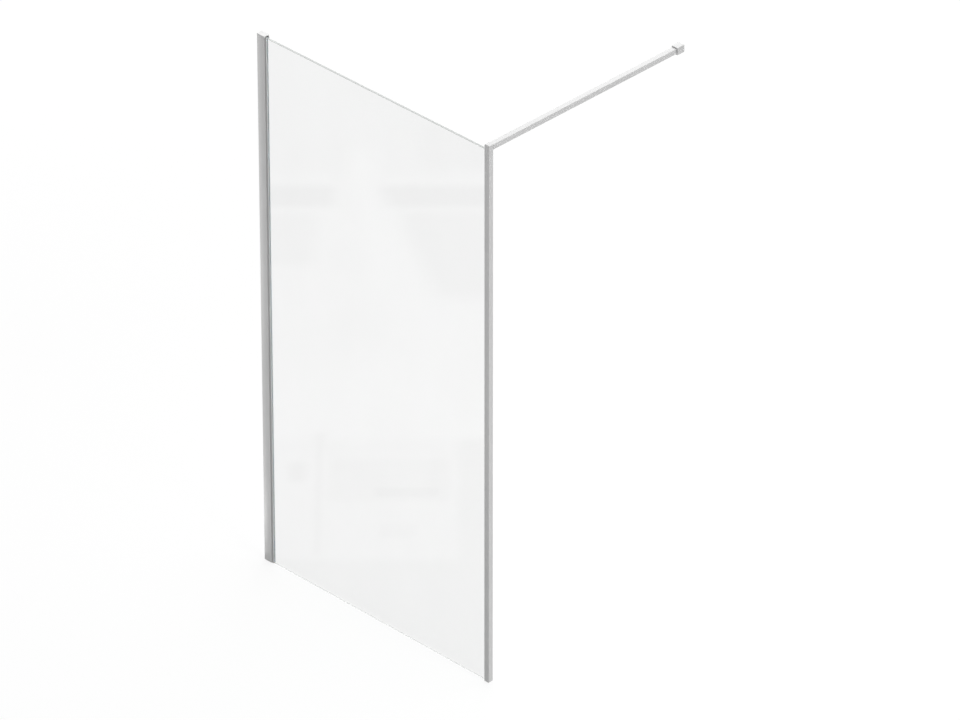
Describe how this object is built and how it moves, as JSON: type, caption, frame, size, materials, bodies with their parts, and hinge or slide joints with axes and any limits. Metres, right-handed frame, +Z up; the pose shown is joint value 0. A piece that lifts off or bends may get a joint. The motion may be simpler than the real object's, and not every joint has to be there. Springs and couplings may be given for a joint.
{
  "type": "walk-in shower screen",
  "caption": "Walk-in shower screen: a clear glass pane in an adjustable wall channel, with an end post and a square support bar to the opposite wall.",
  "frame": {"origin": "on the side wall, on the glass's mid-plane, at the lower end of the wall channel, 3 mm above the floor", "axes": "+X out from the side wall along the glass, +Y along the support bar towards the opposite wall, +Z up"},
  "size_m": [1.0035, 0.8521, 1.9535],
  "materials": {
    "satin_aluminium": "fine satin anodised, drawn along the length",
    "satin_casting": "satin, slightly smoother than the extrusions",
    "silver_plastic": "silver-grey moulded plastic, fine texture",
    "clear_glass": "clear toughened glass with polished edges",
    "gasket_grey": "soft pale grey gasket",
    "block_plastic": "white glazing block",
    "screw_steel": "stainless steel"
  },
  "bodies": {
    "channel": {"wall_channel": "satin_aluminium", "channel_top_cap": "silver_plastic", "clamp_screws": "screw_steel", "clamp_screw_covers": "silver_plastic"},
    "screen": {"glass_profile": "satin_aluminium", "profile_gasket_front": "gasket_grey", "profile_gasket_back": "gasket_grey", "profile_glazing_blocks": "block_plastic", "glass_pane": "clear_glass", "edge_post": "satin_aluminium", "post_gasket_front": "gasket_grey", "post_gasket_back": "gasket_grey", "post_glazing_blocks": "block_plastic", "post_foot_cap": "silver_plastic", "corner_connector": "satin_casting", "connector_screw": "screw_steel", "support_bar": "satin_aluminium", "bar_screw": "screw_steel"},
    "socket": {"wall_socket": "satin_casting", "socket_insert": "screw_steel", "grub_screws": "screw_steel"}
  },
  "joints": [
    {"name": "width_adjust", "type": "slide", "parent": "channel", "child": "screen", "axis": [1, 0, 0], "range_m": [-0.005, 0.015]},
    {"name": "socket_adjust", "type": "slide", "parent": "screen", "child": "socket", "axis": [0, 1, 0], "range_m": [-0.005, 0.005]}
  ]
}
